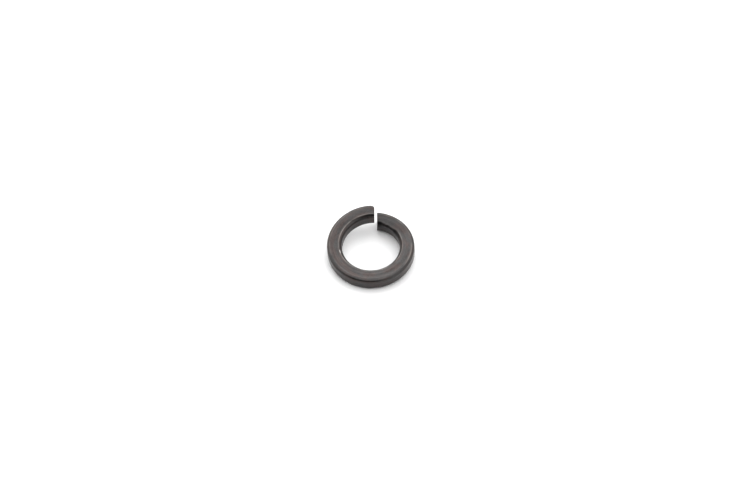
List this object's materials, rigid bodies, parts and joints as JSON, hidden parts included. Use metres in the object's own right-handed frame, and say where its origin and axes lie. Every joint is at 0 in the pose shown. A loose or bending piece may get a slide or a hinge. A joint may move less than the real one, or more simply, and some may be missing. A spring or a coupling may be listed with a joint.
{
  "type": "spring lock washer",
  "caption": "Split spring lock washer of keystone-section wire in black finished steel, sprung open into a short left-hand helix, to sit under an M8 screw head or nut.",
  "frame": {"origin": "on the bore's axis, level with the lowest edge of the low end", "axes": "+Z along the bore axis, from the joint side to the screw head side; +Y towards the slot, which is about 1 mm to the +X side of it and turned 4 degrees clockwise from +Y, seen from above; the low end is on the +X side of the slot and the high end is on the -X side"},
  "size_m": [0.0125, 0.0125, 0.0043],
  "materials": {
    "black_spring_steel": "satin"
  },
  "bodies": {
    "root": {"lock_washer": "black_spring_steel"}
  },
  "joints": []
}
